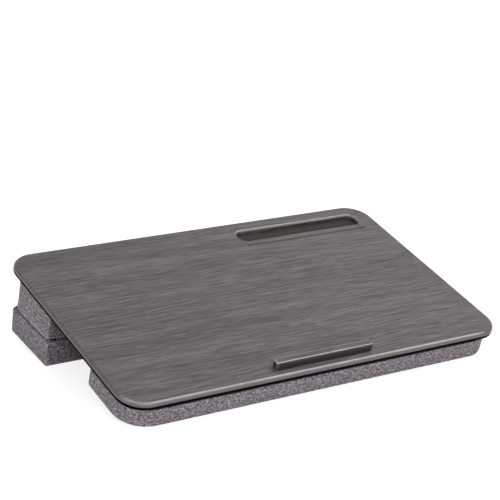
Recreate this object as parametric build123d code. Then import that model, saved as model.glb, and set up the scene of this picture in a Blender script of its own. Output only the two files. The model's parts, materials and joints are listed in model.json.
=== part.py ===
"""Padded lap desk: a wood-grain board on two cushions, with a booster cushion that folds out under the rear one.

Every piece is drawn in the board's frame: origin at the middle of the board's top face, +X right,
+Y towards the rear edge, +Z out of the board. The booster has a frame of its own, on its fold line.
The finished desk is tilted and stood on z = 0. Lengths are millimetres and angles are degrees.
"""
import os
from dataclasses import dataclass
from math import atan, atan2, cos, degrees, radians, sin, sqrt

from build123d import *

# Board
BOARD_WIDTH = 500.0
BOARD_DEPTH = 304.0
BOARD_THICKNESS = 9.0
BOARD_CORNER = 30.0
BOARD_TOP_ROUND = 3.5
BOARD_BOTTOM_ROUND = 2.2

# Phone slot: a pocket at the rear right with a shallow bevelled lip in front of it
SLOT_LENGTH = 180.0
SLOT_WIDTH = 22.5
SLOT_DEPTH = 7.0
SLOT_CORNER = 9.0
SLOT_RIM_ROUND = 2.8
SLOT_RIGHT_MARGIN = 24.0
SLOT_BACK_MARGIN = 20.0
LIP_WIDTH = 11.5
LIP_DROP = 1.2
LIP_END_INSET = 7.0

# Device ledge and its two screws
LEDGE_LENGTH = 130.0
LEDGE_DEPTH = 9.5
LEDGE_HEIGHT = 9.6
LEDGE_SETBACK = 11.0
LEDGE_ROUND = 1.4
LEDGE_END_ROUND = 3.5
LEDGE_TONGUE = 0.5  # how deep the ledge's tongue sits in the board's groove
LEDGE_TONGUE_INSET = 0.3
LEDGE_GROOVE_SPREAD = 0.1  # how far the groove reaches past the bar all round
SCREW_SPACING = 92.0
SCREW_SHANK = 3.5
SCREW_HEAD = 7.0
SCREW_HEAD_HEIGHT = 2.4
SCREW_LENGTH = 16.0
SCREW_CLEARANCE = 0.15

# Cushions under the board
SIDE_SETBACK = 4.2
FRONT_SETBACK = 3.6
BACK_SETBACK = 8.0
FRONT_CUSHION_DEPTH = 89.9
FRONT_CUSHION_HEIGHT = 25.0
REAR_CUSHION_DEPTH = 105.5
REAR_CUSHION_HEIGHT = 32.5  # at its front face
REAR_CUSHION_FALL = 11.0  # how much taller it is at its back face
OUTER_CORNER = 36.0
INNER_CORNER = 5.5
BOTTOM_ROUND = 3.5
COVER_THICKNESS = 1.2
LINING_THICKNESS = 1.0
FILLING_CLEARANCE = 0.2

# Booster cushion and its fold
BOOSTER_CORNER = 5.5
SWING_CLEARANCE = 0.6  # between the swinging booster and the front cushion
STOW_CLEARANCE = 0.4  # between the folded-away booster and the board
FOLD_STANDOFF = 0.5  # fold line ahead of the rear cushion's front face
TAPE_THICKNESS = 0.4
TAPE_FOLD_RADIUS = 0.9
TAPE_LEAF = 14.0
TAPE_END_MARGIN = 12.0
JOINT_CLEARANCE = 0.3

# Touch-fastener strips that hold the booster folded out, and those that hold it folded away
STRIP_LENGTH = 95.0
STRIP_WIDTH = 20.0
STRIP_CORNER = 3.0
STRIP_SPACING = 300.0
STRIP_BACK_MARGIN = 14.0
BAY_STRIP_THICKNESS = 1.2
BAY_STRIP_MARGIN = 20.0  # from the front cushion


@dataclass(frozen=True)
class Cushion:
    """A cushion with a flat top and a flat, sloping underside, in whichever frame it is drawn."""

    front: float
    back: float
    top: float
    height: float  # at the front face
    fall: float  # how much taller it is at the back face
    front_corner: float
    back_corner: float

    def underside(self, y: float) -> float:
        """Height of the underside at y."""
        return self.top - self.height - self.fall * (y - self.front) / (self.back - self.front)

    def block(self, top: float, inset: float) -> Part:
        """Solid up to `top`, with its walls and underside moved in by `inset`."""
        front, back = self.front + inset, self.back - inset
        width, depth = cushion_width - 2 * inset, back - front
        plan = rounded_plan(width, depth, self.front_corner - inset, self.back_corner - inset)
        slope_stretch = sqrt(1 + (self.fall / (self.back - self.front)) ** 2)
        lift = inset * slope_stretch
        side = Polygon(
            (front, self.underside(front) + lift),
            (back, self.underside(back) + lift),
            (back, top),
            (front, top),
            align=None,
        )
        reach = self.height + self.fall
        prism = Pos(0, (front + back) / 2, top - 2 * reach) * extrude(plan, 2 * reach)
        solid = prism & extrude(Plane.YZ * side, cushion_width, both=True)
        low_edges = solid.faces().sort_by(Axis.Z)[0].edges()
        return fillet(low_edges, BOTTOM_ROUND - inset)

    def pieces(self) -> tuple[Part, Part, Part]:
        """Sewn cover, open at the top, with the lining that closes it and the filling inside."""
        mouth = self.top - LINING_THICKNESS
        cover = self.block(mouth, 0) - self.block(self.top, COVER_THICKNESS)
        filling = self.block(mouth, COVER_THICKNESS + FILLING_CLEARANCE)
        plan = rounded_plan(cushion_width, self.back - self.front, self.front_corner, self.back_corner)
        lining = Pos(0, (self.front + self.back) / 2, mouth) * extrude(plan, LINING_THICKNESS)
        return cover, filling, lining


def rounded_plan(width: float, depth: float, front_corner: float, back_corner: float) -> Sketch:
    """Centred rectangle with one radius on its two front corners and another on its two back ones."""
    plan = Rectangle(width, depth)
    plan = fillet(plan.vertices().sort_by(Axis.Y)[:2], front_corner)
    return fillet(plan.vertices().sort_by(Axis.Y)[-2:], back_corner)


# Places that follow from the sizes above
board_underside = -BOARD_THICKNESS
ledge_y = -BOARD_DEPTH / 2 + LEDGE_SETBACK + LEDGE_DEPTH / 2
cushion_width = BOARD_WIDTH - 2 * SIDE_SETBACK

front_start = -BOARD_DEPTH / 2 + FRONT_SETBACK
front_cushion = Cushion(
    front=front_start,
    back=front_start + FRONT_CUSHION_DEPTH,
    top=board_underside,
    height=FRONT_CUSHION_HEIGHT,
    fall=0.0,
    front_corner=OUTER_CORNER,
    back_corner=INNER_CORNER,
)
rear_end = BOARD_DEPTH / 2 - BACK_SETBACK
rear_cushion = Cushion(
    front=rear_end - REAR_CUSHION_DEPTH,
    back=rear_end,
    top=board_underside,
    height=REAR_CUSHION_HEIGHT,
    fall=REAR_CUSHION_FALL,
    front_corner=INNER_CORNER,
    back_corner=OUTER_CORNER,
)

# Fold line along X, just ahead of the rear cushion's lower front edge
rear_slope = degrees(atan(REAR_CUSHION_FALL / REAR_CUSHION_DEPTH))
fold_y = rear_cushion.front - FOLD_STANDOFF
fold_z = rear_cushion.underside(fold_y) - TAPE_FOLD_RADIUS / cos(radians(rear_slope))

# Booster frame: origin on the fold line, +Y back along the rear cushion's underside
booster_frame = Pos(0, fold_y, fold_z) * Rot(X=-rear_slope)
booster_top = -(TAPE_FOLD_RADIUS + JOINT_CLEARANCE)

# The booster is as thick as still folds up under the board, and as deep as still swings past the
# front cushion: the rounding of its far lower edge is centred at (depth - r, drop - r) from the fold
booster_drop = board_underside - fold_z - STOW_CLEARANCE
swing_reach = fold_y - front_cushion.back - SWING_CLEARANCE - BOTTOM_ROUND
booster_depth = BOTTOM_ROUND + sqrt(swing_reach**2 - (booster_drop - BOTTOM_ROUND) ** 2)
booster = Cushion(
    front=0.0,
    back=booster_depth,
    top=booster_top,
    height=booster_drop + booster_top,
    fall=0.0,
    front_corner=BOOSTER_CORNER,
    back_corner=BOOSTER_CORNER,
)

# The desk stands on the rounded lower front edges of its front cushion and of its booster, which
# share one radius, so the tilt is the slope of the line through the centres of the two roundings
front_foot = Vector(0, front_cushion.front + BOTTOM_ROUND, front_cushion.underside(0) + BOTTOM_ROUND)
booster_foot = (booster_frame * Pos(0, BOTTOM_ROUND, BOTTOM_ROUND - booster_drop)).position
tilt = atan2(front_foot.Z - booster_foot.Z, booster_foot.Y - front_foot.Y)


def row_height(y: float, z: float) -> float:
    """Height of a board-frame point above the board's centre once the desk is tilted."""
    return y * sin(tilt) + z * cos(tilt)


def row_run(y: float, z: float) -> float:
    """How far back a board-frame point lies from the board's centre once the desk is tilted."""
    return y * cos(tilt) - z * sin(tilt)


# Row frame: centred on the outline, standing on z = 0
ground = row_height(front_foot.Y, front_foot.Z) - BOTTOM_ROUND
front_reach = row_run(-BOARD_DEPTH / 2 + BOARD_TOP_ROUND, -BOARD_TOP_ROUND) - BOARD_TOP_ROUND
board_back_reach = (
    row_run(BOARD_DEPTH / 2 - BOARD_BOTTOM_ROUND, board_underside + BOARD_BOTTOM_ROUND) + BOARD_BOTTOM_ROUND
)
cushion_back_reach = (
    row_run(rear_cushion.back - BOTTOM_ROUND, rear_cushion.underside(rear_cushion.back) + BOTTOM_ROUND)
    + BOTTOM_ROUND
)
back_reach = max(board_back_reach, cushion_back_reach)
stand = Pos(0, -(front_reach + back_reach) / 2, -ground) * Rot(X=degrees(tilt))


def slot_cutter() -> Part:
    """Rounded pocket of the phone slot, with the bevelled lip in front of it."""
    right = BOARD_WIDTH / 2 - SLOT_RIGHT_MARGIN
    back = BOARD_DEPTH / 2 - SLOT_BACK_MARGIN
    centre_x, centre_y = right - SLOT_LENGTH / 2, back - SLOT_WIDTH / 2
    plan = RectangleRounded(SLOT_LENGTH, SLOT_WIDTH, SLOT_CORNER)
    return Pos(centre_x, centre_y, -SLOT_DEPTH) * extrude(plan, 2 * SLOT_DEPTH)


def lip_cutter() -> Part:
    """Shallow wedge that slopes down from the board's top into the pocket's front edge."""
    right = BOARD_WIDTH / 2 - SLOT_RIGHT_MARGIN - LIP_END_INSET
    pocket_front = BOARD_DEPTH / 2 - SLOT_BACK_MARGIN - SLOT_WIDTH
    crease = pocket_front - LIP_WIDTH
    middle = pocket_front + SLOT_WIDTH / 2
    low = LIP_DROP * (middle - crease) / LIP_WIDTH
    side = Polygon((crease, 0), (middle, -low), (middle, low), (crease, low), align=None)
    length = SLOT_LENGTH - 2 * LIP_END_INSET
    return Pos(right - length / 2, 0, 0) * extrude(Plane.YZ * side, length / 2, both=True)


def ledge_plan(spread: float) -> Sketch:
    """Outline of the ledge seen from above, grown by `spread` all round."""
    return RectangleRounded(LEDGE_LENGTH + 2 * spread, LEDGE_DEPTH + 2 * spread, LEDGE_END_ROUND + spread)


def top_board() -> Part:
    """Board with rounded edges, the phone slot, and the ledge's groove and countersunk screw holes."""
    plan = RectangleRounded(BOARD_WIDTH, BOARD_DEPTH, BOARD_CORNER)
    board = Pos(0, 0, board_underside) * extrude(plan, BOARD_THICKNESS)
    board = fillet(board.faces().sort_by(Axis.Z)[-1].edges(), BOARD_TOP_ROUND)
    board = fillet(board.faces().sort_by(Axis.Z)[0].edges(), BOARD_BOTTOM_ROUND)
    board -= slot_cutter()
    rim = board.faces().filter_by(Plane.XY).sort_by(Axis.Z)[-1].inner_wires()[0].edges()
    front_rim = rim.sort_by(Axis.Y)[0]
    board = fillet([edge for edge in rim if edge != front_rim], SLOT_RIM_ROUND)
    board -= lip_cutter()
    board -= Pos(0, ledge_y, -LEDGE_TONGUE) * extrude(ledge_plan(LEDGE_GROOVE_SPREAD), 2 * LEDGE_TONGUE)
    for screw in ledge_screws(SCREW_CLEARANCE):
        board -= screw
    return board


def device_ledge() -> Part:
    """Low bar near the front edge that stops a laptop from sliding off, with a tongue below it."""
    bar = Pos(0, ledge_y, 0) * extrude(ledge_plan(0.0), LEDGE_HEIGHT)
    bar = fillet(bar.faces().sort_by(Axis.Z)[-1].edges(), LEDGE_ROUND)
    bar += Pos(0, ledge_y, -LEDGE_TONGUE) * extrude(ledge_plan(-LEDGE_TONGUE_INSET), LEDGE_TONGUE)
    for screw in ledge_screws(SCREW_CLEARANCE):
        bar -= screw
    return bar


def ledge_screws(clearance: float) -> list[Part]:
    """Countersunk screws driven up into the ledge, or the holes for them when a clearance is given."""
    shank = SCREW_SHANK / 2 + clearance
    head = SCREW_HEAD / 2 + clearance
    tip = board_underside + SCREW_LENGTH + clearance
    profile = Polygon(
        (0, board_underside),
        (head, board_underside),
        (shank, board_underside + SCREW_HEAD_HEIGHT),
        (shank, tip - SCREW_SHANK / 2),
        (0, tip),
        align=None,
    )
    screw = revolve(Plane.XZ * profile, Axis.Z)
    return [Pos(side * SCREW_SPACING / 2, ledge_y, 0) * screw for side in (-1, 1)]


def fold_tape() -> Part:
    """Woven tape folded round the fold line: one leaf under the rear cushion, one on the booster."""
    length = cushion_width - 2 * TAPE_END_MARGIN
    outer = Pos(TAPE_LEAF / 2, 0) * Rectangle(TAPE_LEAF, 2 * TAPE_FOLD_RADIUS) + Circle(TAPE_FOLD_RADIUS)
    inside = TAPE_FOLD_RADIUS - TAPE_THICKNESS
    inner = Pos(TAPE_LEAF / 2, 0) * Rectangle(TAPE_LEAF, 2 * inside) + Circle(inside)
    return booster_frame * extrude(Plane.YZ * (outer - inner), length / 2, both=True)


def strip_pair(y: float, low: float, thickness: float) -> Part:
    """Two rounded touch-fastener strips side by side, lying on the plane z = low."""
    strip = extrude(RectangleRounded(STRIP_LENGTH, STRIP_WIDTH, STRIP_CORNER), thickness)
    left, right = (Pos(side * STRIP_SPACING / 2, y, low) * strip for side in (-1, 1))
    return Part() + [left, right]


def desk() -> dict[str, Part]:
    """Every piece of the desk by its node name, in the board's frame."""
    front_cover, front_filling, front_lining = front_cushion.pieces()
    rear_cover, rear_filling, rear_lining = rear_cushion.pieces()
    booster_cover, booster_filling, booster_lining = (booster_frame * piece for piece in booster.pieces())
    strip_y = booster_depth - STRIP_BACK_MARGIN - STRIP_WIDTH / 2
    bay_strip_y = front_cushion.back + BAY_STRIP_MARGIN + STRIP_WIDTH / 2
    return {
        "top_board": top_board(),
        "device_ledge": device_ledge(),
        "ledge_screws": Part() + ledge_screws(0.0),
        "front_cushion_cover": front_cover,
        "front_cushion_foam": front_filling,
        "front_cushion_lining": front_lining,
        "rear_cushion_cover": rear_cover,
        "rear_cushion_foam": rear_filling,
        "rear_cushion_lining": rear_lining,
        "rear_hook_strips": booster_frame * strip_pair(strip_y, 0.0, TAPE_FOLD_RADIUS),
        "bay_hook_strips": strip_pair(bay_strip_y, board_underside - BAY_STRIP_THICKNESS, BAY_STRIP_THICKNESS),
        "fold_tape": fold_tape(),
        "booster_cover": booster_cover,
        "booster_foam": booster_filling,
        "booster_lining": booster_lining,
        "booster_loop_strips": booster_frame * strip_pair(strip_y, booster_top, TAPE_FOLD_RADIUS),
    }


def main() -> None:
    os.makedirs("parts", exist_ok=True)
    for name, piece in desk().items():
        export_step(stand * piece, f"parts/{name}.step")
    fold = stand * Pos(0, fold_y, fold_z)
    print("fold line at", fold.position, "tilt", degrees(tilt), "booster", booster)


main()
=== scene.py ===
"""Dressed model of the padded lap desk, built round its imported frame.

A wood-grain board lies on two sewn cushions with an open bay between them, and a third cushion, the
booster, folds out under the rear one. Sizes in the classes are millimetres, as a maker would write
them. Meshes are metres, in the frame's own axes.
"""

import json
import logging
from collections.abc import Callable, Iterator
from contextlib import contextmanager
from dataclasses import dataclass, field
from enum import Enum
from functools import reduce
from math import atan2, cos, hypot, pi, radians

import bmesh
import bpy
from mathutils import Matrix, Vector, noise

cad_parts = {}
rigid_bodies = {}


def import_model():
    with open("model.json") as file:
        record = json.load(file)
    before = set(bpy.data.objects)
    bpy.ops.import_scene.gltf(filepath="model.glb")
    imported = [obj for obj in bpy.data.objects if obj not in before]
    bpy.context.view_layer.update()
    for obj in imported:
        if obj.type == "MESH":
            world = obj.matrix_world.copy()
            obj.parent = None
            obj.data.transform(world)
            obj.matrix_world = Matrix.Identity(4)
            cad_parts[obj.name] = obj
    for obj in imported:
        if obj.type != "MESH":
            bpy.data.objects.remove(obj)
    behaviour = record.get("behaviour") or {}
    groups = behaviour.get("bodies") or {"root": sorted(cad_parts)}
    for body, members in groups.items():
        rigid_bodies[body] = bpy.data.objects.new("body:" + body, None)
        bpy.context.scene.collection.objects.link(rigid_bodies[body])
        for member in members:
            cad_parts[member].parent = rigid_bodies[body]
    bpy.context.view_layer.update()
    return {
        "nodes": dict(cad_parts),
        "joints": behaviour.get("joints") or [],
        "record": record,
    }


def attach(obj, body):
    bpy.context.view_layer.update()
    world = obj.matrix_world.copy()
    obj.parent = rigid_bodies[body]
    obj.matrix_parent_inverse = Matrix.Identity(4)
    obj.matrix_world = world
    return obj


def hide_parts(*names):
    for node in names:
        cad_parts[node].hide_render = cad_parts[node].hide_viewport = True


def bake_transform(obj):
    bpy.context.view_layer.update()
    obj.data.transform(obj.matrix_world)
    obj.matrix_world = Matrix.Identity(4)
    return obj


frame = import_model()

MM = 0.001
TOUCHING = 1e-6
STILL = 1e-9
LOG = logging.getLogger("lap_desk")

Triple = tuple[float, float, float]
Colour = Triple
Fade = tuple[float, float]
Socket = bpy.types.NodeSocket
Value = Socket | float
Material = bpy.types.Material
Piece = bpy.types.Object


# ---- frame


class Body(str, Enum):
    """The two bodies that the fold joins."""

    DESK = "desk"
    BOOSTER = "booster"


def mount(name: str) -> dict:
    """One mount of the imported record, with its place and axis."""
    return next(m for m in frame["record"]["mounts"] if m["name"] == name)


def board_place() -> Matrix:
    """Matrix from the board's own axes, centred on its top face, to the frame.

    Returns:
        The matrix.
    """
    top = mount("desk_top")
    tilt = atan2(-top["axis"][1], top["axis"][2])
    return Matrix.Translation(top["pos_m"]) @ Matrix.Rotation(tilt, 4, "X")


def booster_place() -> Matrix:
    """Matrix from the booster's own axes, centred on its fold line, to the frame.

    Returns:
        The matrix.
    """
    under = mount("rest_face")["axis"]
    slope = atan2(under[1], -under[2])
    fold = frame["joints"][0]["pos_m"]
    return Matrix.Translation(fold) @ Matrix.Rotation(slope, 4, "X")


# ---- modelling helpers


def clear_selection() -> None:
    """Deselects every object, so that an operator acts on the next one alone."""
    for piece in bpy.context.scene.objects:
        piece.select_set(False)


def take(piece: Piece) -> None:
    """Selects one piece and makes it active.

    Args:
        piece: The piece that the next operators act on.
    """
    clear_selection()
    piece.select_set(True)
    bpy.context.view_layer.objects.active = piece


@contextmanager
def editing(piece: Piece) -> Iterator[None]:
    """Edit mode on one piece with nothing selected, left again at the end.

    Args:
        piece: The piece to edit.
    """
    take(piece)
    bpy.ops.object.mode_set(mode="EDIT")
    bpy.ops.mesh.select_all(action="DESELECT")
    yield
    bpy.ops.object.mode_set(mode="OBJECT")


def add(primitive: Callable, name: str, middle: Triple, size: Triple) -> Piece:
    """Adds a cube or a plane at its size and place.

    Args:
        primitive: The operator that adds it.
        name: The piece's name.
        middle: Its middle, in millimetres.
        size: Its size along each axis, in millimetres.

    Returns:
        The piece, its object at the origin.
    """
    clear_selection()
    primitive(size=1, location=[c * MM for c in middle])
    piece = bpy.context.object
    piece.name = name
    piece.scale = [s * MM for s in size]
    bpy.ops.object.transform_apply(location=True, rotation=True, scale=True)
    return piece


def select_edges(piece: Piece, wanted: Callable[[bmesh.types.BMEdge], bool]) -> None:
    """Selects edges of the piece in edit mode by a test.

    Args:
        piece: The piece in edit mode.
        wanted: Says whether an edge is taken.
    """
    bpy.ops.mesh.select_mode(type="EDGE")
    bpy.ops.mesh.select_all(action="DESELECT")
    mesh = bmesh.from_edit_mesh(piece.data)
    mesh.normal_update()
    for edge in [e for e in mesh.edges if wanted(e)]:
        edge.select_set(True)
    bmesh.update_edit_mesh(piece.data)


def cut_evenly(axis: int, low: float, high: float, count: int) -> None:
    """Cuts the piece in edit mode into equal bays.

    Args:
        axis: 0 to cut across the width, 1 across the depth and 2 across the height.
        low: Where the first bay starts, in millimetres.
        high: Where the last bay ends, in millimetres.
        count: How many bays there are.
    """
    normal = Vector((0, 0, 0))
    normal[axis] = 1.0
    for i in range(1, count):
        bpy.ops.mesh.select_all(action="SELECT")
        point = normal * ((low + (high - low) * i / count) * MM)
        bpy.ops.mesh.bisect(plane_co=point, plane_no=normal)


def face_outwards() -> None:
    """Turns every face of the piece in edit mode outwards."""
    bpy.ops.mesh.select_all(action="SELECT")
    bpy.ops.mesh.normals_make_consistent(inside=False)


def apply_modifiers(piece: Piece) -> None:
    """Applies every modifier of a piece in order.

    Args:
        piece: The piece to finish.
    """
    take(piece)
    for modifier in list(piece.modifiers):
        bpy.ops.object.modifier_apply(modifier=modifier.name)


def thicken(piece: Piece, thickness: float, offset: float) -> None:
    """Gives a sheet its thickness.

    Args:
        piece: The sheet.
        thickness: The thickness, in millimetres.
        offset: -1 to add it behind the faces, 0 to add half on either side.
    """
    solid = piece.modifiers.new("thickness", "SOLIDIFY")
    solid.thickness, solid.offset = thickness * MM, offset
    apply_modifiers(piece)


def panel_layer(piece: Piece) -> bpy.types.MeshUVLoopLayer:
    """The piece's layer of panel coordinates, added if it has none yet."""
    layers = piece.data.uv_layers
    return layers.get("panels") or layers.new(name="panels")


def in_mm(co: Vector) -> Triple:
    """A point of a mesh in millimetres."""
    return tuple(c / MM for c in co)


def put(piece: Piece, place: Matrix) -> None:
    """Moves a piece from its own axes into the frame and leaves its object at the origin.

    Args:
        piece: The piece, drawn in its own axes.
        place: The matrix from those axes to the frame.
    """
    take(piece)
    piece.matrix_world = place
    bpy.context.view_layer.update()
    bpy.ops.object.transform_apply(location=True, rotation=True, scale=True)


def dress(piece: Piece, material: Material) -> None:
    """Gives a new piece or a node of the frame one material all over."""
    piece.data.materials.clear()
    piece.data.materials.append(material)


def smooth(piece: Piece, angle: float) -> None:
    """Shades a piece smooth, apart from edges sharper than an angle in degrees."""
    take(piece)
    bpy.ops.object.shade_smooth_by_angle(angle=radians(angle))


def log_faces(piece: Piece) -> None:
    """Reports a finished piece."""
    LOG.info("%s: %d faces", piece.name, len(piece.data.polygons))


# ---- materials


@dataclass(frozen=True)
class Pattern:
    """One fractal pattern: features per millimetre along each axis, where it starts and how fine it is."""

    scale: Triple
    start: Triple = (0.0, 0.0, 0.0)
    detail: float = 2.0
    roughness: float = 0.5
    distortion: float = 0.0


class Graph:
    """A node tree with short calls for the nodes that the finishes use."""

    def __init__(self, owner: Material | bpy.types.World) -> None:
        """Starts an empty tree.

        Args:
            owner: The new material or world.
        """
        owner.use_nodes = True
        self.owner = owner
        self.tree = owner.node_tree
        self.tree.nodes.clear()

    def node(self, kind: str, inputs: dict | None = None, **settings: str) -> bpy.types.Node:
        """Adds a node.

        Args:
            kind: The node's type name, without the ShaderNode in front.
            inputs: Sockets by name or number, each a constant or another node's output.
            **settings: Values of its properties.

        Returns:
            The new node.
        """
        node = self.tree.nodes.new(f"ShaderNode{kind}")
        for key, value in settings.items():
            setattr(node, key, value)
        for key, value in (inputs or {}).items():
            if isinstance(value, bpy.types.NodeSocket):
                self.tree.links.new(value, node.inputs[key])
            else:
                node.inputs[key].default_value = value
        return node

    def scaled(self, vector: Socket, scale: Triple, shift: Triple = (0.0, 0.0, 0.0)) -> Socket:
        """Coordinates stretched along each axis and then shifted."""
        inputs = {"Vector": vector, "Scale": scale, "Location": shift}
        return self.node("Mapping", inputs).outputs[0]

    def object_mm(self, place: Matrix) -> Socket:
        """Object coordinates in millimetres, turned into a piece's own axes.

        Args:
            place: The matrix from those axes to the frame.

        Returns:
            The coordinates as a vector.
        """
        back = place.inverted()
        where = self.node("TexCoord").outputs["Object"]
        turn, shift = tuple(back.to_euler()), tuple(back.to_translation())
        inputs = {"Vector": where, "Rotation": turn, "Location": shift}
        turned = self.node("Mapping", inputs)
        return self.scaled(turned.outputs[0], (1 / MM, 1 / MM, 1 / MM))

    def cloth_mm(self) -> Socket:
        """The piece's own panel coordinates in millimetres."""
        where = self.node("UVMap", uv_map="panels").outputs[0]
        return self.scaled(where, (1 / MM, 1 / MM, 1 / MM))

    def apart(self, vector: Socket) -> list[Socket]:
        """The three parts of a vector."""
        return list(self.node("SeparateXYZ", {0: vector}).outputs)

    def noise(self, vector: Socket, pattern: Pattern, shift: float = 0.0) -> Socket:
        """Fractal noise.

        Args:
            vector: The coordinates in millimetres.
            pattern: Its size, start and fineness.
            shift: How far its start is moved along the first axis.

        Returns:
            The noise, from 0 to 1.
        """
        start = (pattern.start[0] + shift, *pattern.start[1:])
        inputs = {
            "Vector": self.scaled(vector, pattern.scale, start),
            "Scale": 1.0,
            "Detail": pattern.detail,
            "Roughness": pattern.roughness,
            "Distortion": pattern.distortion,
        }
        return self.node("TexNoise", inputs).outputs[0]

    def cells(self, vector: Socket, scale: float, randomness: float = 1.0) -> Socket:
        """Distance from the middle of a cell; a randomness of 0 gives a square grid."""
        inputs = {"Vector": vector, "Scale": scale, "Randomness": randomness}
        return self.node("TexVoronoi", inputs).outputs[0]

    def math(self, operation: str, first: Value, second: Value = 0.0) -> Socket:
        """One step of the Math node on one or two values."""
        return self.node("Math", {0: first, 1: second}, operation=operation).outputs[0]

    def product(self, *factors: Value) -> Socket:
        """All the factors multiplied together."""
        return reduce(lambda first, second: self.math("MULTIPLY", first, second), factors)

    def total(self, *terms: Value) -> Socket:
        """All the terms added together."""
        return reduce(lambda first, second: self.math("ADD", first, second), terms)

    def most(self, *values: Value) -> Socket:
        """The greatest of the values."""
        return reduce(lambda first, second: self.math("MAXIMUM", first, second), values)

    def rest_of(self, share: Socket) -> Socket:
        """What a share leaves of 1."""
        return self.math("SUBTRACT", 1.0, share)

    def away(self, value: Socket, middle: float) -> Socket:
        """How far a value is from a middle, on either side."""
        return self.math("ABSOLUTE", self.math("SUBTRACT", value, middle))

    def wave(self, value: Socket, pitch: float) -> Socket:
        """A sine that repeats once in every pitch."""
        return self.math("SINE", self.product(value, 2 * pi / pitch))

    def blend(self, kind: str, share: Value, first: Socket | Colour, second: Socket | Colour) -> Socket:
        """Two colours mixed.

        Args:
            kind: The blend type.
            share: How much of the second shows.
            first: The first colour.
            second: The second colour, or a grey level as a socket.

        Returns:
            The mixed colour.
        """
        first, second = ((*c, 1.0) if isinstance(c, tuple) else c for c in (first, second))
        inputs = {0: share, 6: first, 7: second}
        return self.node("Mix", inputs, data_type="RGBA", blend_type=kind).outputs[2]

    def ramp(self, value: Socket, levels: tuple[float, ...], colours: tuple[Colour, ...]) -> Socket:
        """A value turned into a colour.

        Args:
            value: The value, from 0 to 1.
            levels: The value at each colour, in order.
            colours: The colours.

        Returns:
            The colour.
        """
        node = self.node("ValToRGB", {0: value})
        elements = node.color_ramp.elements
        while len(elements) < len(levels):
            elements.new(0.5)
        for element, level, colour in zip(elements, levels, colours):
            element.position = level
            element.color = (*colour, 1.0)
        return node.outputs[0]

    def span(
        self, value: Socket, low: float, high: float, to_low: float = 0.0, to_high: float = 1.0
    ) -> Socket:
        """A value mapped smoothly, low to to_low and high to to_high, and held at both ends."""
        inputs = {"Value": value, "From Min": low, "From Max": high, "To Min": to_low, "To Max": to_high}
        return self.node("MapRange", inputs, interpolation_type="SMOOTHSTEP").outputs[0]

    def bump(self, height: Socket, depth_mm: float, strength: float) -> Socket:
        """The normal of a relief that is so many millimetres deep."""
        inputs = {"Height": height, "Distance": depth_mm * MM, "Strength": strength}
        return self.node("Bump", inputs).outputs[0]

    def finish(
        self, colour: Socket, roughness: Value, normal: Socket, others: dict | None = None
    ) -> Material:
        """Closes a material's tree with its surface shader.

        Args:
            colour: The base colour.
            roughness: The roughness.
            normal: The relief.
            others: The shader's other sockets by name.

        Returns:
            The finished material.
        """
        inputs = {"Base Color": colour, "Roughness": roughness, "Normal": normal, **(others or {})}
        shader = self.node("BsdfPrincipled", inputs)
        self.node("OutputMaterial", {"Surface": shader.outputs[0]})
        return self.owner


def new_material(name: str) -> Graph:
    """The empty tree of a new material."""
    return Graph(bpy.data.materials.new(name))


@dataclass(frozen=True)
class PhoneSlot:
    """The phone slot and the lip in front of it, with painted shade and a painted highlight: where each mask
    begins and where it is full.
    """

    middle_x: float = 136.0
    middle_y: float = 117.0
    ends: Fade = (97.0, 95.0)
    sides: Fade = (21.0, 19.5)
    crease_y: float = 98.2
    crease_ends: Fade = (92.0, 89.0)
    crease_sides: Fade = (2.3, 1.4)
    rim_y: Fade = (112.0, 116.0)
    rim_top: Fade = (-0.02, -0.2)
    rim_foot: Fade = (-2.9, -2.2)
    # Depths and darkness of the painted shade on the slot's walls and bottom.
    wall: Fade = (-1.6, -3.6)
    wall_share: Fade = (0.0, 0.18)
    bottom: Fade = (-6.2, -6.9)
    bottom_y: Fade = (124.0, 117.0)
    bottom_share: Fade = (0.68, 0.79)

    def masks(self, g: Graph, x: Socket, y: Socket, z: Socket) -> tuple[Socket, Socket, Socket, Socket]:
        """Draws the slot's masks, in the board's own axes.

        Args:
            g: The material's graph.
            x: Across the board.
            y: Back along it.
            z: Up from its top face.

        Returns:
            The slot with its lip, the painted shade line where the lip starts to slope, the painted
            highlight on the rim of the back wall, and the painted shade inside the slot.
        """
        across = g.away(x, self.middle_x)
        inside = g.product(g.span(across, *self.ends), g.span(g.away(y, self.middle_y), *self.sides))
        crease = g.product(
            g.span(g.away(y, self.crease_y), *self.crease_sides), g.span(across, *self.crease_ends)
        )
        rim = g.product(inside, g.span(y, *self.rim_y), g.span(z, *self.rim_top), g.span(z, *self.rim_foot))
        bottom = g.product(g.span(z, *self.bottom), g.span(y, *self.bottom_y, *self.bottom_share))
        shade = g.product(inside, g.total(g.span(z, *self.wall, *self.wall_share), bottom))
        return inside, crease, rim, shade


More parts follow.
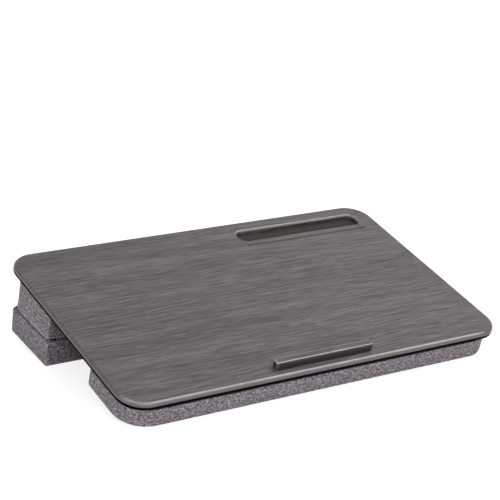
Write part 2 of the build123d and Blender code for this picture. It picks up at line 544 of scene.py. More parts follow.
@dataclass(frozen=True)
class WoodGrainFoil:
    """Grey oak foil: long straight grain, short dark pores, glossier edges, and painted highlights and
    shade.
    """

    name: str
    place: Matrix
    half_width: float
    half_depth: float
    centre_y: float = 0.0
    top: float = 0.0
    shift: float = 0.0
    corner: float = 30.0
    round_over: float = 3.5
    # Pale edge colour: a painted highlight on the rounded front edge and on the slot's back rim, with a
    # little wear.
    edge: Colour = (0.360, 0.328, 0.333)
    edge_share: float = 0.85
    # Side-face tone: on the board a lighter front face, painted light that fades toward the sides; on the
    # ledge a near-black front face, painted shade.
    face: Colour = (0.132, 0.119, 0.122)
    face_start: float = 1.35
    tones: Triple = (0.41, 0.50, 0.60)
    dark: Colour = (0.041, 0.0345, 0.036)
    middle: Colour = (0.087, 0.0755, 0.078)
    light: Colour = (0.146, 0.129, 0.132)
    pore: Colour = (0.024, 0.021, 0.022)
    # Near-black painted shade inside the slot and along the lip's crease.
    painted_slot_shade: Colour = (0.014, 0.010, 0.009)
    # Near black: the underside's own backing, and painted shade on the lower band of the edge, where the gap
    # under the board lies in shade.
    backing_and_gap_shade: Colour = (0.0025, 0.002, 0.002)
    fibreboard: Colour = (0.034, 0.030, 0.030)
    waver: Pattern = Pattern((0.007, 0.016, 0.02), (0.0, 3.0, 0.0), 1.0)
    drift: float = 12.0
    band: Pattern = Pattern((0.003, 0.050, 0.05), (0.0, 11.0, 0.0), 1.0)
    streak: Pattern = Pattern((0.017, 0.36, 0.3), (0.0, 0.0, 5.0), 2.0, 0.6)
    fibre: Pattern = Pattern((0.042, 0.90, 0.8), (0.0, 7.0, 2.0), 2.0, 0.65)
    pores: Pattern = Pattern((0.060, 1.05, 1.1), (0.0, 1.0, 9.0), 1.0)
    wear: Pattern = Pattern((0.05, 0.05, 0.05), detail=3.0)
    flecks: Pattern = Pattern((0.45, 0.45, 0.2), detail=3.0, roughness=0.6)
    # How far back from the front the painted edge highlight and the painted side-face light reach.
    front_fade: Fade = (30.0, 8.0)
    # Heights of the lower edge band that is painted near black: painted shade of the gap under the board.
    gap_shade_band: Fade = (-4.3, -4.9)
    underside: Fade = (-8.70, -8.92)
    slot: PhoneSlot = PhoneSlot()

    def grain(self, g: Graph, where: Socket, closed: Socket) -> tuple[Socket, Socket, Socket]:
        """Draws the wood's figure.

        Args:
            g: The material's graph.
            where: The board's own coordinates in millimetres.
            closed: 1 where the foil is stretched round an edge, which closes its pores.

        Returns:
            The colour, the fibres and the pores.
        """
        x, y, z = g.apart(where)
        drift = g.product(g.math("SUBTRACT", g.noise(where, self.waver, self.shift), 0.5), self.drift)
        run = g.node("CombineXYZ", {0: x, 1: g.total(y, drift), 2: z}).outputs[0]
        band, streak, fibre, pores = (
            g.noise(run, pattern, self.shift) for pattern in (self.band, self.streak, self.fibre, self.pores)
        )
        tone = g.total(g.product(band, 0.18), g.product(streak, 0.40), g.product(fibre, 0.42))
        colour = g.ramp(tone, self.tones, (self.dark, self.middle, self.light))
        pitted = g.product(g.span(pores, 0.60, 0.70), g.rest_of(closed))
        return g.blend("MIX", g.product(pitted, 0.65), colour, self.pore), fibre, pitted

    def reach(self, g: Graph, x: Socket, y: Socket) -> Socket:
        """How far out a point lies: as much as the corner's radius on the outline, and less within it.

        Args:
            g: The material's graph.
            x: Across the board.
            y: Back along it.

        Returns:
            The distance in millimetres.
        """
        across = g.math("SUBTRACT", g.math("ABSOLUTE", x), self.half_width - self.corner)
        along = g.math("SUBTRACT", g.away(y, self.centre_y), self.half_depth - self.corner)
        across, along = g.most(across, 0.0), g.most(along, 0.0)
        return g.math("SQRT", g.total(g.product(across, across), g.product(along, along)))

    def worn_and_highlit(self, g: Graph, where: Socket, polished: Socket, near_front: Fade) -> Socket:
        """Where the rounded front edge is painted pale: a little wear, and mostly a painted highlight.

        Args:
            g: The material's graph.
            where: The board's own coordinates in millimetres.
            polished: 1 on the rounded edge.
            near_front: Places back where the pale edge begins and where it is full.

        Returns:
            How worn a point is, from 0 to 1.
        """
        x, y, z = g.apart(where)
        upper = g.span(z, self.top - self.round_over - 1.0, self.top - self.round_over * 0.8)
        # The painted highlight fades out before the right-hand corner.
        left_of_corner = g.span(x, self.half_width - self.corner * 0.7, self.half_width - self.corner * 1.5)
        patches = g.span(g.noise(where, self.wear), 0.30, 0.65, 0.7, 1.0)
        return g.product(polished, patches, g.span(y, *near_front), upper, left_of_corner, self.edge_share)

    def material(self) -> Material:
        """Builds the foil.

        Returns:
            The material.
        """
        g = new_material(self.name)
        where = g.object_mm(self.place)
        x, y, z = g.apart(where)
        reach, rounding = self.reach(g, x, y), self.corner - self.round_over
        closed = g.span(reach, rounding - 1.5, rounding + 0.5)
        polished = g.span(reach, rounding - 0.4, rounding + 0.5)
        near_front = tuple(self.centre_y - self.half_depth + distance for distance in self.front_fade)
        # side: the lower rounding and side face, which carry painted light on the board and painted shade on
        # the ledge.
        side = g.span(reach, self.corner - self.face_start, self.corner - self.face_start * 0.4)
        slot, crease, rim, shade = self.slot.masks(g, x, y, z)
        # low: the lower edge band, painted near black as painted shade; the slot is left out.
        low = g.product(g.rest_of(slot), g.span(z, *self.gap_shade_band))
        under = g.span(z, *self.underside)
        sheet = g.ramp(g.noise(where, self.flecks), (0.38, 0.62), (self.backing_and_gap_shade, self.fibreboard))
        colour, fibre, pitted = self.grain(g, where, closed)
        coats = (
            (g.product(closed, 0.55), self.middle),
            # Pale front edge: a little wear, and mostly a painted highlight.
            (self.worn_and_highlit(g, where, polished, near_front), self.edge),
            # Side faces: painted light on the board's front face, painted shade on the ledge's front face.
            (g.product(side, g.span(y, *near_front, 0.30, 0.90)), self.face),
            # Painted highlight on the rim of the slot's back wall.
            (g.product(rim, 0.5), self.edge),
            # Painted shade inside the slot.
            (shade, self.painted_slot_shade),
            # Painted shade line along the lip's crease.
            (g.product(crease, 0.92), self.painted_slot_shade),
            # Lower edge band: painted shade. The underside itself: the backing's own flecked colour.
            (low, g.blend("MIX", under, self.backing_and_gap_shade, sheet)),
        )
        for share, coat in coats:
            colour = g.blend("MIX", share, colour, coat)
        low = g.product(low, g.rest_of(under))
        gloss = g.total(g.span(fibre, 0.3, 0.7, 0.44, 0.54), g.product(g.most(polished, rim), -0.20))
        relief = g.math("SUBTRACT", g.product(fibre, 0.5), g.product(pitted, 0.5))
        relief = g.product(relief, g.span(closed, 0.0, 1.0, 1.0, 0.25))
        gloss = g.most(gloss, g.product(g.most(low, under, shade), 0.9))
        # Metallic on the painted-shade band takes its reflection away, so it stays near black.
        others = {"Metallic": low, "Specular IOR Level": 0.42}
        return g.finish(colour, gloss, g.bump(relief, 0.10, 0.30), others)


class Cut(Enum):
    """How a fabric piece is cut: a flat panel, or a strip sewn along a seam, which shows its stitches."""

    PANEL = "panel"
    SEAM = "seam"


@dataclass(frozen=True)
class HeatherFabric:
    """Heathered polyester canvas: slubby yarns in a plain weave, with a band of painted shade between two
    heights.
    """

    name: str
    cut: Cut = Cut.PANEL
    # Painted light level: above 1 a lit copy of the cloth, for the welts' painted highlight; below 1 a
    # shaded copy, for the booster's painted shade.
    painted_light_level: float = 1.0
    painted_shade_low: float = 0.0
    painted_shade_high: float = 0.0
    painted_shade_share: float = 0.0
    painted_shade_fade: float = 0.4
    painted_shade_colour: Colour = (0.004, 0.003, 0.004)
    tones: Triple = (0.40, 0.49, 0.60)
    yarns: tuple[Colour, ...] = ((0.062, 0.054, 0.060), (0.228, 0.206, 0.220), (0.580, 0.532, 0.560))
    tints: tuple[Colour, ...] = ((1.0, 0.955, 0.985), (0.965, 0.975, 1.0))
    pitch: float = 0.62
    stitch: float = 3.0
    weft: Pattern = Pattern((0.20, 0.95, 1.0), (0.0, 3.0, 2.0), 2.0, 0.65)
    warp: Pattern = Pattern((0.95, 0.22, 1.0), (9.0, 0.0, 5.0), 2.0, 0.65)
    mottle: Pattern = Pattern((0.32, 0.38, 1.0), (4.0, 8.0, 1.0), 2.0, 0.7)
    cloud: Pattern = Pattern((0.045, 0.06, 1.0), (2.0, 5.0, 3.0), 2.0)

    def material(self) -> Material:
        """Builds the cloth.

        Returns:
            The material.
        """
        g = new_material(self.name)
        where = g.cloth_mm()
        across, along, _ = g.apart(where)
        over = g.product(g.wave(across, 2 * self.pitch), g.wave(along, 2 * self.pitch))
        weave = g.span(over, -0.35, 0.35)
        weft, warp = g.noise(where, self.weft), g.noise(where, self.warp)
        yarn = g.total(g.product(weft, weave), g.product(warp, g.rest_of(weave)))
        cloud = g.noise(where, self.cloud)
        tone = g.total(g.product(yarn, 0.52), g.product(g.noise(where, self.mottle), 0.48))
        colour = g.ramp(tone, self.tones, self.yarns)
        colour = g.blend("MULTIPLY", 1.0, colour, g.ramp(cloud, (0.40, 0.60), self.tints))
        # Random cloudy tone, scaled by the painted light level.
        shade = g.span(cloud, 0.3, 0.7, 0.90 * self.painted_light_level, 1.08 * self.painted_light_level)
        colour = g.blend("MULTIPLY", 1.0, colour, shade)
        # Painted shade: a near-black band at the top of the walls, for the shadow gap under the board and
        # between the cushions.
        if self.painted_shade_share:
            over_low = g.span(along, self.painted_shade_low - self.painted_shade_fade, self.painted_shade_low)
            under_high = g.span(along, self.painted_shade_high + self.painted_shade_fade, self.painted_shade_high)
            top_shaded = g.product(over_low, under_high, self.painted_shade_share)
            colour = g.blend("MIX", top_shaded, colour, self.painted_shade_colour)
        ridges = g.product(g.total(g.math("ABSOLUTE", over), yarn), 0.5)
        if self.cut is Cut.SEAM:
            ridges = g.total(g.product(ridges, 0.5), g.product(g.wave(across, self.stitch), 0.5))
        nap = {"Specular IOR Level": 0.25, "Sheen Weight": 0.18, "Sheen Roughness": 0.5}
        return g.finish(colour, 0.92, g.bump(ridges, 0.30, 0.55), nap)


@dataclass(frozen=True)
class LiningFelt:
    """Black spun-bonded lining with its pressed dot pattern."""

    name: str
    place: Matrix
    fibres: tuple[Colour, Colour] = ((0.008, 0.008, 0.009), (0.026, 0.025, 0.027))
    fuzz: Pattern = Pattern((2.2, 2.2, 2.2), detail=3.0, roughness=0.7)

    def material(self) -> Material:
        """Builds the lining.

        Returns:
            The material.
        """
        g = new_material(self.name)
        where = g.object_mm(self.place)
        pressed = g.span(g.cells(where, 0.7, 0.15), 0.20, 0.42)
        fuzz = g.noise(where, self.fuzz)
        relief = g.total(g.product(pressed, 0.6), g.product(fuzz, 0.4))
        colour = g.ramp(fuzz, (0.3, 0.7), self.fibres)
        return g.finish(colour, 0.95, g.bump(relief, 0.2, 0.6), {"Specular IOR Level": 0.2})


@dataclass(frozen=True)
class OpenFoam:
    """Pale open-cell foam."""

    name: str
    colours: tuple[Colour, Colour] = ((0.36, 0.35, 0.31), (0.62, 0.60, 0.55))

    def material(self) -> Material:
        """Builds the foam.

        Returns:
            The material.
        """
        g = new_material(self.name)
        cells = g.cells(g.object_mm(Matrix.Identity(4)), 0.9)
        # Cells darker in their middles, where the bump sinks: painted shade in the pores.
        colour = g.ramp(cells, (0.1, 0.6), self.colours)
        return g.finish(colour, 0.97, g.bump(cells, 0.4, 0.7), {"Subsurface Weight": 0.1})


@dataclass(frozen=True)
class ZincScrew:
    """Zinc-plated steel with fine turning marks."""

    name: str
    colours: tuple[Colour, Colour] = ((0.46, 0.47, 0.49), (0.62, 0.63, 0.64))
    turning: Pattern = Pattern((0.6, 0.6, 9.0), detail=3.0)

    def material(self) -> Material:
        """Builds the plating.

        Returns:
            The material.
        """
        g = new_material(self.name)
        marks = g.noise(g.object_mm(Matrix.Identity(4)), self.turning)
        colour, roughness = g.ramp(marks, (0.3, 0.7), self.colours), g.span(marks, 0.3, 0.7, 0.26, 0.42)
        return g.finish(colour, roughness, g.bump(marks, 0.03, 0.4), {"Metallic": 1.0})


class Pile(Enum):
    """The two halves of a touch fastener."""

    HOOK = "hook"
    LOOP = "loop"


@dataclass(frozen=True)
class TouchFastener:
    """Black touch fastener: rows of stiff hooks, or a tangle of soft loops."""

    name: str
    place: Matrix
    pile: Pile
    colours: tuple[Colour, Colour] = ((0.006, 0.006, 0.007), (0.040, 0.040, 0.043))
    tangle: Pattern = Pattern((1.6, 1.6, 1.6), detail=4.0, roughness=0.75, distortion=0.8)

    def material(self) -> Material:
        """Builds the fastener.

        Returns:
            The material.
        """
        g = new_material(self.name)
        where = g.object_mm(self.place)
        if self.pile is Pile.HOOK:
            height = g.span(g.cells(where, 0.75, 0.1), 0.0, 0.45, 1.0, 0.0)
        else:
            height = g.noise(where, self.tangle)
        # Colour follows the pile's height, darker low down: painted shade between the hooks and in the
        # loops' hollows.
        colour = g.ramp(height, (0.2, 0.8), self.colours)
        return g.finish(colour, 0.62, g.bump(height, 0.5, 0.8), {"Sheen Weight": 0.15})


@dataclass(frozen=True)
class WovenTape:
    """Grey herringbone tape with a line of stitching along each edge."""

    name: str
    leaf: float
    colours: tuple[Colour, Colour] = ((0.110, 0.100, 0.106), (0.330, 0.300, 0.316))
    thread: Colour = (0.42, 0.39, 0.40)
    rib: float = 0.9
    zigzag: float = 2.5
    margin: float = 2.5
    stitch: float = 3.2
    fuzz: Pattern = Pattern((1.5, 1.5, 1.0), detail=3.0)

    def material(self) -> Material:
        """Builds the tape.

        Returns:
            The material.
        """
        g = new_material(self.name)
        where = g.cloth_mm()
        across, along, _ = g.apart(where)
        rib = g.wave(g.total(across, g.math("PINGPONG", along, self.zigzag)), self.rib)
        tone = g.total(g.product(rib, 0.22), g.noise(where, self.fuzz))
        row = g.away(g.math("ABSOLUTE", along), self.leaf - self.margin)
        thread = g.product(g.span(row, 0.55, 0.30), g.span(g.wave(across, self.stitch), -0.5, -0.2))
        relief = g.total(g.product(rib, 0.5), thread)
        colour = g.blend("MIX", thread, g.ramp(tone, (0.25, 0.85), self.colours), self.thread)
        return g.finish(colour, 0.9, g.bump(relief, 0.25, 0.6))


# ---- cushions


@dataclass(frozen=True)
class Swell:
    """How far a stuffed cushion's faces may stand proud of its block, in millimetres."""

    front: float
    back: float
    side: float
    under: float

    def limits(self) -> list[tuple[Vector, float]]:
        """Each outward direction with its limit.

        Returns:
            Pairs of a direction and how far the cloth may move that way.
        """
        return [
            (Vector((0, -1, 0)), self.front),
            (Vector((0, 1, 0)), self.back),
            (Vector((1, 0, 0)), self.side),
            (Vector((-1, 0, 0)), self.side),
            (Vector((0, 0, -1)), self.under),
        ]


@dataclass
class SewnCushion:
    """A boxed cushion: four walls and an underside sewn together, with the stuffing pressing them out."""

    name: str
    place: Matrix
    stands_for: str
    front: float
    back: float
    height: float
    front_corner: float
    back_corner: float
    low_round: float
    top_round: float
    swell: Swell
    body: Body = Body.DESK
    top: float = -10.0
    fall: float = 0.0
    sewn_front: bool = True
    sewn_back: bool = True
    width: float = 491.6
    wide_corner: float = 10.0
    cell: float = 8.0
    weld: float = 0.4
    frames: int = 20
    welt: float = 0.55
    pucker: float = 0.28
    pucker_reach: float = 14.0
    pucker_length: float = 9.0
    pucker_height: float = 30.0
    lumps: float = 0.16
    lump_size: float = 34.0
    lump_start: float = 4.0
    under_shift: float = 500.0
    shell: Piece = field(init=False)
    seams: Piece = field(init=False)

    @property
    def depth(self) -> float:
        """Depth from front to back."""
        return self.back - self.front

    @property
    def middle(self) -> float:
        """Place of the middle line, back along the cushion."""
        return (self.front + self.back) / 2

    def underside(self, y: float) -> float:
        """Height of the underside at a distance back, in the cushion's own axes."""
        return self.top - self.height - self.fall * (y - self.front) / self.depth

    def block(self) -> None:
        """Adds the cushion's block: a cube with its underside cut to slope and its edges rounded."""
        tall = self.height + self.fall
        middle, size = (0.0, self.middle, self.top - tall / 2), (self.width, self.depth, tall)
        self.shell = add(bpy.ops.mesh.primitive_cube_add, self.name, middle, size)
        with editing(self.shell):
            if self.fall:
                bpy.ops.mesh.select_all(action="SELECT")
                bpy.ops.mesh.bisect(
                    plane_co=(0, self.front * MM, self.underside(self.front) * MM),
                    plane_no=Vector((0, -self.fall, -self.depth)).normalized(),
                    use_fill=True,
                    clear_outer=True,
                )
            for radius, ahead in ((self.front_corner, True), (self.back_corner, False)):
                select_edges(self.shell, lambda e, ahead=ahead: self.upright(e, ahead))
                steps = 12 if radius > self.wide_corner else 4
                bpy.ops.mesh.bevel(offset=radius * MM, segments=steps, affect="EDGES")
            for side, radius, steps in ((-1, self.low_round, 4), (1, self.top_round, 2)):
                select_edges(self.shell, lambda e, side=side: self.meets(e, side))
                bpy.ops.mesh.bevel(offset=radius * MM, segments=steps, affect="EDGES")

    def upright(self, edge: bmesh.types.BMEdge, ahead: bool) -> bool:
        """Whether an edge stands straight up, in the front half or else in the back half."""
        a, b = (v.co for v in edge.verts)
        return hypot(a.x - b.x, a.y - b.y) < TOUCHING and (a.y < self.middle * MM) == ahead

    @staticmethod
    def meets(edge: bmesh.types.BMEdge, side: int) -> bool:
        """Whether an edge joins a wall to the underside (-1) or to the top (1)."""
        heights = sorted(face.normal.z * side for face in edge.link_faces)
        return len(heights) == 2 and heights[1] > 0.9 and heights[0] < 0.3

    def panels(self) -> None:
        """Cuts every face into cells that the cloth can bend along."""
        spans = (
            (-self.width / 2, self.width / 2, self.cell),
            (self.front, self.back, self.cell),
            (self.top - self.height, self.top, self.height / 4),
        )
        with editing(self.shell):
            for axis, (low, high, step) in enumerate(spans):
                cut_evenly(axis, low, high, max(2, round((high - low) / step)))
            bpy.ops.mesh.select_all(action="SELECT")
            bpy.ops.mesh.remove_doubles(threshold=self.weld * MM)
            face_outwards()

    def past_corner(self, x: float, y: float) -> tuple[float, float]:
        """How far a point lies past the centre of its corner's arc.

        Args:
            x: Distance from the cushion's middle.
            y: Place back along it.

        Returns:
            The distances sideways and lengthways, both above 0 in a round corner.
        """
        ahead = y < self.middle
        radius = self.front_corner if ahead else self.back_corner
        lengthways = self.front + radius - y if ahead else y - (self.back - radius)
        return x - (self.width / 2 - radius), lengthways

    def on_low_seam(self, co: Vector) -> bool:
        """Tells the line where the walls and the underside are sewn together.

        Args:
            co: A point of the shell.

        Returns:
            Whether it lies on that line.
        """
        x, y = abs(co.x) / MM, co.y / MM
        above = (co.z / MM - self.underside(y)) - self.low_round * (1 - cos(pi / 4))
        inside = min(self.width / 2 - x, y - self.front, self.back - y) > self.low_round * 1.2
        return abs(above) < self.low_round * 0.12 and (not inside or min(self.past_corner(x, y)) > 0)

    def on_corner_seam(self, co: Vector) -> bool:
        """Tells the upright seams at the tight corners.

        Args:
            co: A point of the shell.

        Returns:
            Whether it lies on one of them.
        """
        x, y = abs(co.x) / MM, co.y / MM
        if not (self.sewn_front if y < self.middle else self.sewn_back):
            return False
        dx, dy = self.past_corner(x, y)
        on_wall = self.underside(y) + self.low_round * 0.25 < co.z / MM < self.top - self.top_round * 0.5
        return dx > 0 and dy > 0 and on_wall and abs(atan2(dy, dx) - pi / 4) < 0.1

    def low_corner(self, co: Vector) -> bool:
        """Whether a point of the low seam is where an upright seam meets it."""
        return self.on_corner_seam(Vector((co.x, co.y, (self.top - self.height / 2) * MM)))

    def sew(self) -> None:
        """Marks what the thread and the board hold still: the seams and the glued top."""
        held, low, corner = (
            self.shell.vertex_groups.new(name=name) for name in ("held", "low_seam", "corner_seam")
        )
        for vertex in self.shell.data.vertices:
            on_low, on_corner = self.on_low_seam(vertex.co), self.on_corner_seam(vertex.co)
            glued = vertex.co.z > (self.top - self.top_round - 0.1) * MM
            members = (
                (low, on_low),
                (corner, on_corner or (on_low and self.low_corner(vertex.co))),
                (held, on_low or on_corner or glued),
            )
            for group, member in members:
                if member:
                    group.add([vertex.index], 1.0, "REPLACE")

    def stuff(self) -> None:
        """Presses the cloth out by simulation and keeps each face within its limit."""
        vertices = self.shell.data.vertices
        rest = [v.co.copy() for v in vertices]
        take(self.shell)
        cloth = self.shell.modifiers.new("stuffing", "CLOTH")
        cloth.settings.quality = 6
        cloth.settings.mass = 0.05
        cloth.settings.use_pressure = True
        cloth.settings.uniform_pressure_force = 4.0
        cloth.settings.effector_weights.gravity = 0.0
        cloth.settings.vertex_group_mass = "held"
        cloth.collision_settings.use_collision = False
        cloth.point_cache.frame_start, cloth.point_cache.frame_end = 1, self.frames
        for step in range(1, self.frames + 1):
            bpy.context.scene.frame_set(step)
        bpy.ops.object.modifier_apply(modifier=cloth.name)
        bpy.context.scene.frame_set(1)
        vertices = self.shell.data.vertices
        moved = [v.co - start for v, start in zip(vertices, rest)]
        reach = [(d, limit * MM, max(max(m.dot(d), 0.0) for m in moved)) for d, limit in self.swell.limits()]
        LOG.info("%s swelled by %s mm", self.name, [round(most / MM, 2) for _, _, most in reach])
        for vertex, start, move in zip(vertices, rest, moved):
            kept = Vector((0, 0, 0))
            for direction, limit, most in reach:
                if most > STILL:
                    kept += direction * (max(move.dot(direction), 0.0) * limit / most)
            vertex.co = start + kept

    def finish_cloth(self) -> None:
        """Refines the cloth by one level and puckers it a little beside the seams."""
        finer = self.shell.modifiers.new("finer", "SUBSURF")
        finer.levels = finer.render_levels = 1
        apply_modifiers(self.shell)
        vertices = self.shell.data.vertices
        normals = [v.normal.copy() for v in vertices]
        for vertex, normal in zip(vertices, normals):
            x, y, z = in_mm(vertex.co)
            above = z - self.underside(y)
            if z > self.top - self.top_round - 0.2 or above < self.low_round:
                continue
            near = max(0.0, 1 - above / self.pucker_reach)
            length, height, size = self.pucker_length, self.pucker_height, self.lump_size
            ripple = noise.noise(Vector((x / length, y / length, z / height)))
            lump = noise.noise(Vector((x / size, y / size, z / size + self.lump_start)))
            vertex.co += normal * ((min(0.0, ripple) * self.pucker * near + lump * self.lumps) * MM)

    def map_panels(self) -> None:
        """Gives the cloth panel coordinates: round and up the walls, flat on top and, set apart, below."""
        mesh, layer, length = self.shell.data, panel_layer(self.shell), self.outline_length()
        for face in mesh.polygons:
            corners = [in_mm(mesh.vertices[i].co) for i in face.vertices]
            if abs(face.normal.z) < 0.75:
                spots = [(self.along(x, y), z) for x, y, z in corners]
                if max(spots)[0] - min(spots)[0] > length / 2:
                    spots = [(u + length if u < length / 2 else u, v) for u, v in spots]
            else:
                shift = 0.0 if face.normal.z > 0 else self.under_shift
                spots = [(x, y + shift) for x, y, _ in corners]
            for loop, (u, v) in zip(face.loop_indices, spots):
                layer.data[loop].uv = (u * MM, v * MM)

    def outline_length(self) -> float:
        """Length round the cushion's outline."""
        return 2 * (self.width + self.depth) - (4 - pi) * (self.front_corner + self.back_corner)

    def along(self, x: float, y: float) -> float:
        """How far round the outline a point of the wall lies, from the middle of the back.

        Args:
            x: Across the cushion.
            y: Back along it.

        Returns:
            The distance, going over the right side first.
        """
        half, px, fr, br = self.width / 2, abs(x), self.front_corner, self.back_corner
        side_start, side_end = self.back - br, self.front + fr
        to_side = half - br + br * pi / 2
        to_front_arc = to_side + side_start - side_end
        if y > side_start and px > half - br:
            distance = half - br + br * atan2(px - (half - br), max(y - side_start, TOUCHING))
        elif y < side_end and px > half - fr:
            distance = to_front_arc + fr * atan2(max(side_end - y, TOUCHING), px - (half - fr))
        elif px > half - max(fr, br) * 0.5 - 3.0 and side_end <= y <= side_start:
            distance = to_side + side_start - y
        elif y > self.middle:
            distance = px
        else:
            distance = to_front_arc + fr * pi / 2 + half - fr - px
        return distance if x >= 0 else self.outline_length() - distance

    def pipe_seams(self) -> None:
        """Lays the rolled welt along the seams, from the cloth's own seam edges."""
        seams = [self.shell.vertex_groups[name].index for name in ("low_seam", "corner_seam")]
        mesh = self.shell.data
        on_seams = [{g.group for g in vertex.groups if g.weight > 0.95} for vertex in mesh.vertices]
        sewn = {
            edge.index
            for edge in mesh.edges
            if any(all(seam in on_seams[i] for i in edge.vertices) for seam in seams)
        }
        with editing(self.shell):
            select_edges(self.shell, lambda e: e.index in sewn)
            bpy.ops.mesh.duplicate()
            bpy.ops.mesh.separate(type="SELECTED")
        self.seams = next(o for o in bpy.context.selected_objects if o != self.shell)
        self.seams.name = f"{self.name}_welt"
        take(self.seams)
        bpy.ops.object.convert(target="CURVE")
        curve = self.seams.data
        curve.bevel_depth, curve.bevel_resolution, curve.use_fill_caps = self.welt * MM, 2, True
        bpy.ops.object.convert(target="MESH")
        self.seams = bpy.context.object
        layer = panel_layer(self.seams)
        for loop in self.seams.data.loops:
            co = self.seams.data.vertices[loop.vertex_index].co
            run = self.along(co.x / MM, co.y / MM) + co.z / MM
            layer.data[loop.index].uv = (run * MM, (co.z - co.y) * 0.5)

    def build(self, cloth: Material, welt: Material) -> None:
        """Makes the cushion and its welt and sets them in the frame.

        Args:
            cloth: The finish of the panels.
            welt: The finish of the seams.
        """
        self.block()
        self.panels()
        self.sew()
        self.stuff()
        self.finish_cloth()
        self.pipe_seams()
        self.map_panels()
        for piece, finish, sharpest in ((self.shell, cloth, 40.0), (self.seams, welt, 80.0)):
            piece.vertex_groups.clear()
            smooth(piece, sharpest)
            dress(piece, finish)
            put(piece, self.place)
            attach(piece, self.body.value)
            log_faces(piece)
        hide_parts(self.stands_for)


# ---- booster lining


@dataclass
class LiningSheet:
    """The hemmed sheet that closes the booster's top, under the tape and the loop strips."""

    name: str = "booster_lining_sheet"
    # The sheet reaches to within a few millimetres of the booster's edge, so its own black also serves as
    # painted shade in the gap under the rear cushion.
    width: float = 487.0
    front: float = 1.2
    back: float = 89.8
    top: float = -1.35
    corner: float = 3.0
    hem: float = 7.0
    hem_rise: float = 0.05
    thickness: float = 0.3
    bays: int = 24

    def build(self, felt: Material) -> None:
        """Makes the sheet with its folded hem.

        Args:
            felt: The sheet's finish.
        """
        depth = self.back - self.front
        middle = (0.0, (self.front + self.back) / 2, self.top)
        piece = add(bpy.ops.mesh.primitive_plane_add, self.name, middle, (self.width, depth, 1.0))
        with editing(piece):
            bpy.ops.mesh.select_all(action="SELECT")
            bpy.ops.mesh.bevel(offset=self.corner * MM, segments=5, affect="VERTICES")
            bpy.ops.mesh.select_all(action="SELECT")
            bpy.ops.mesh.inset(thickness=self.hem * MM, depth=-self.hem_rise * MM)
            cut_evenly(0, -self.width / 2, self.width / 2, self.bays)
            face_outwards()
        thicken(piece, self.thickness, -1.0)
        dress(piece, felt)
        put(piece, booster_place())
        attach(piece, Body.BOOSTER.value)
        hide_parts("booster_lining")
        log_faces(piece)


# ---- fold tape


@dataclass
class FoldTape:
    """The woven tape that joins the booster to the rear cushion, folded flat on itself."""

    name: str = "fold_tape_cloth"
    length: float = 467.6
    leaf: float = 14.0
    radius: float = 0.7
    thickness: float = 0.4
    bend: float = 0.5
    bays: int = 40

    def build(self) -> None:
        """Makes the tape and puts it in place at the fold."""
        middle, size = (0.0, self.leaf / 2, self.radius), (self.length, self.leaf, 1.0)
        piece = add(bpy.ops.mesh.primitive_plane_add, self.name, middle, size)
        with editing(piece):
            select_edges(piece, lambda e: all(abs(v.co.y) < TOUCHING for v in e.verts))
            bpy.ops.mesh.spin(steps=10, angle=pi, center=(0, 0, 0), axis=(1, 0, 0))
            bpy.ops.mesh.extrude_region_move(TRANSFORM_OT_translate={"value": (0, self.leaf * MM, 0)})
            bpy.ops.mesh.select_all(action="SELECT")
            bpy.ops.mesh.remove_doubles(threshold=0.01 * MM)
            cut_evenly(0, -self.length / 2, self.length / 2, self.bays)
        layer = panel_layer(piece)
        for loop in piece.data.loops:
            co = piece.data.vertices[loop.vertex_index].co
            side = 1 if co.z > 0 else -1
            layer.data[loop.index].uv = (co.x, side * co.y if co.y > 0 else co.z)
        thicken(piece, self.thickness, 0.0)
        with editing(piece):
            face_outwards()
        smooth(piece, 50.0)
        dress(piece, WovenTape("herringbone_tape", self.leaf).material())
        place = booster_place()
        put(piece, place)
        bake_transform(piece)
        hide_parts("fold_tape")
        log_faces(piece)


# ---- carried-over nodes


@dataclass
class CarriedNodes:
    """The nodes whose shape is already right, and which only need their finish."""

    board: Matrix
    booster: Matrix

    def build(self) -> None:
        """Dresses each carried-over node."""
        board_foil = WoodGrainFoil("wood_grain_board_foil", self.board, half_width=250.0, half_depth=152.0)
        # The ledge's pale top edge is a painted highlight, and its near-black front face is painted shade.
        ledge_foil = WoodGrainFoil(
            "wood_grain_ledge_foil", self.board, half_width=65.0, half_depth=4.75, centre_y=-136.25, top=9.6,
            shift=4.7, corner=2.0, round_over=1.4, edge=(0.380, 0.350, 0.350), edge_share=0.95,
            face=(0.022, 0.019, 0.020), face_start=0.30,
        )
        felt = LiningFelt("lining_felt_board", self.board).material()
        foam = OpenFoam("open_foam").material()
        finishes = {
            "top_board": board_foil.material(),
            "device_ledge": ledge_foil.material(),
            "ledge_screws": ZincScrew("zinc_screw").material(),
            # The cushion linings' own black; their edges, under the board, also serve as painted shade in
            # the gap there.
            "front_cushion_lining": felt,
            "rear_cushion_lining": felt,
            "front_cushion_foam": foam,
            "rear_cushion_foam": foam,
            "booster_foam": foam,
            "rear_hook_strips": TouchFastener("hook_strip", self.booster, Pile.HOOK).material(),
            "bay_hook_strips": TouchFastener("bay_hook_strip", self.board, Pile.HOOK).material(),
            "booster_loop_strips": TouchFastener("loop_strip", self.booster, Pile.LOOP).material(),
        }
        for name, finish in finishes.items():
            dress(frame["nodes"][name], finish)
            LOG.info("%s: %s", name, finish.name)


# ---- studio


@dataclass(frozen=True)
class SoftBox:
    """One rectangular studio lamp, its place and size in metres."""

    name: str
    place: Triple
    aim: Triple
    width: float
    height: float
    power: float

    def build(self) -> None:
        """Hangs the lamp and turns it to its aim."""
        data = bpy.data.lights.new(self.name, "AREA")
        data.shape = "RECTANGLE"
        data.size, data.size_y, data.energy = self.width, self.height, self.power
        lamp = bpy.data.objects.new(self.name, data)
        bpy.context.scene.collection.objects.link(lamp)
        lamp.location = self.place
        lamp.rotation_euler = (Vector(self.aim) - Vector(self.place)).to_track_quat("-Z", "Y").to_euler()


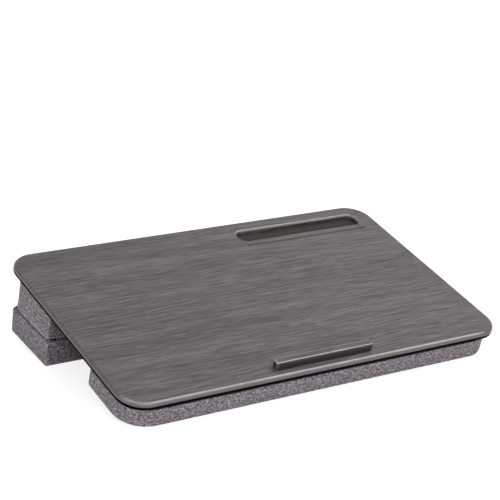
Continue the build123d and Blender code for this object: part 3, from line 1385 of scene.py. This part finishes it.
@dataclass
class Studio:
    """A pale floor, an even white surround, soft lamps and the camera, whose place is in metres."""

    ambient: float = 0.48
    floor_glow: float = 0.78
    floor_size: float = 8000.0
    floor_colour: Colour = (0.50, 0.50, 0.50)
    lens: float = 112.4
    eye: Triple = (-0.95574, -1.39809, 0.69752)
    turn: Triple = (1.240060, -0.053904, -0.574552)
    lamps: tuple[SoftBox, ...] = (
        SoftBox("key_strip", (1.29, -0.27, 1.95), (0, -0.15, 0.03), 0.22, 1.10, 24.0),
        SoftBox("front_fill", (-0.50, -2.60, 1.10), (0, 0, 0.05), 1.80, 1.00, 27.0),
        SoftBox("left_fill", (-2.60, -0.40, 0.90), (0, 0, 0.05), 1.60, 1.20, 12.5),
    )

    @staticmethod
    def seen(g: Graph) -> Socket:
        """1 for a ray that ends in the picture, and 0 for one that only lights the object."""
        rays = g.node("LightPath").outputs
        return g.most(rays["Is Camera Ray"], rays["Is Glossy Ray"], rays["Is Transmission Ray"])

    def surround(self) -> None:
        """Makes the world: plain light for the object and white behind it."""
        world = bpy.data.worlds.new("studio_white")
        bpy.context.scene.world = world
        g = Graph(world)
        levels = {"Value": self.seen(g), "To Min": self.ambient, "To Max": 1.0}
        strength = g.node("MapRange", levels).outputs[0]
        light = g.node("Background", {"Color": (1, 1, 1, 1), "Strength": strength})
        g.node("OutputWorld", {"Surface": light.outputs[0]})

    def floor(self) -> None:
        """Lays the floor, which looks white where nothing shades it."""
        size = (self.floor_size, self.floor_size, 1.0)
        floor = add(bpy.ops.mesh.primitive_plane_add, "studio_floor", (0.0, 0.0, 0.0), size)
        g = new_material("studio_floor_paint")
        paint = g.node("BsdfDiffuse", {"Color": (*self.floor_colour, 1.0)})
        glow = g.node("Emission", {"Strength": g.product(self.seen(g), self.floor_glow)})
        both = g.node("AddShader", {0: paint.outputs[0], 1: glow.outputs[0]})
        g.node("OutputMaterial", {"Surface": both.outputs[0]})
        dress(floor, g.owner)

    def camera(self) -> None:
        """Sets up the camera."""
        data = bpy.data.cameras.new("camera")
        data.lens, data.sensor_width = self.lens, 36.0
        data.clip_start, data.clip_end = 0.05, 50.0
        camera = bpy.data.objects.new("camera", data)
        bpy.context.scene.collection.objects.link(camera)
        camera.location, camera.rotation_euler = self.eye, self.turn
        bpy.context.scene.camera = camera

    def build(self) -> None:
        """Builds the whole studio."""
        self.surround()
        self.floor()
        self.camera()
        for lamp in self.lamps:
            lamp.build()
        bpy.context.scene.view_settings.view_transform = "Standard"


# ---- assembly


def cushions(board: Matrix, booster: Matrix) -> list[SewnCushion]:
    """The three cushions with their sizes.

    Args:
        board: The board's place.
        booster: The booster's place.

    Returns:
        The front cushion, the rear cushion and the booster, not built yet.
    """
    front = SewnCushion(
        "front_cushion", board, "front_cushion_cover", front=-148.4, back=-58.5, height=24.0,
        front_corner=36.0, back_corner=4.0, low_round=2.2, top_round=3.2,
        swell=Swell(front=0.9, back=0.6, side=1.0, under=0.4), sewn_front=False,
    )
    rear = SewnCushion(
        "rear_cushion", board, "rear_cushion_cover", front=38.5, back=144.0, height=31.5,
        front_corner=2.6, back_corner=36.0, low_round=2.4, top_round=2.2,
        swell=Swell(front=0.2, back=1.2, side=1.0, under=0.2), sewn_back=False, fall=11.0, welt=1.0,
    )
    folded_out = SewnCushion(
        "booster_cushion", booster, "booster_cover", front=0.0, back=91.080, height=31.453,
        front_corner=2.8, back_corner=2.8, low_round=2.0, top_round=2.4,
        swell=Swell(front=0.2, back=1.2, side=1.0, under=0.3), body=Body.BOOSTER, top=-1.5,
    )
    return [front, rear, folded_out]


def main() -> None:
    """Builds every piece in order."""
    logging.basicConfig(level=logging.INFO, format="%(message)s")
    board, booster = board_place(), booster_place()
    Studio().build()
    CarriedNodes(board, booster).build()
    # The cushions' cloths carry a band of painted shade at the top of their walls.
    top_shaded = HeatherFabric(
        "heather_fabric_top_shaded", painted_shade_low=-12.4, painted_shade_high=-8.8, painted_shade_share=0.95
    ).material()
    # The booster's cloth is a shaded copy of the canvas (painted shade); the welt cloths are lit copies
    # (painted highlight along the seams).
    plain = HeatherFabric(
        "heather_fabric_plain", painted_light_level=0.92, painted_shade_low=-3.0, painted_shade_high=-0.6, painted_shade_share=0.85
    ).material()
    welt = HeatherFabric("heather_fabric_welt", Cut.SEAM, painted_light_level=1.55).material()
    rolled = HeatherFabric("heather_fabric_rolled_welt", Cut.SEAM, painted_light_level=1.6).material()
    finishes = ((top_shaded, welt), (top_shaded, rolled), (plain, welt))
    for cushion, (cloth, piping) in zip(cushions(board, booster), finishes):
        cushion.build(cloth, piping)
    LiningSheet().build(LiningFelt("lining_felt_booster", booster).material())
    FoldTape().build()


if __name__ == "__main__":
    main()
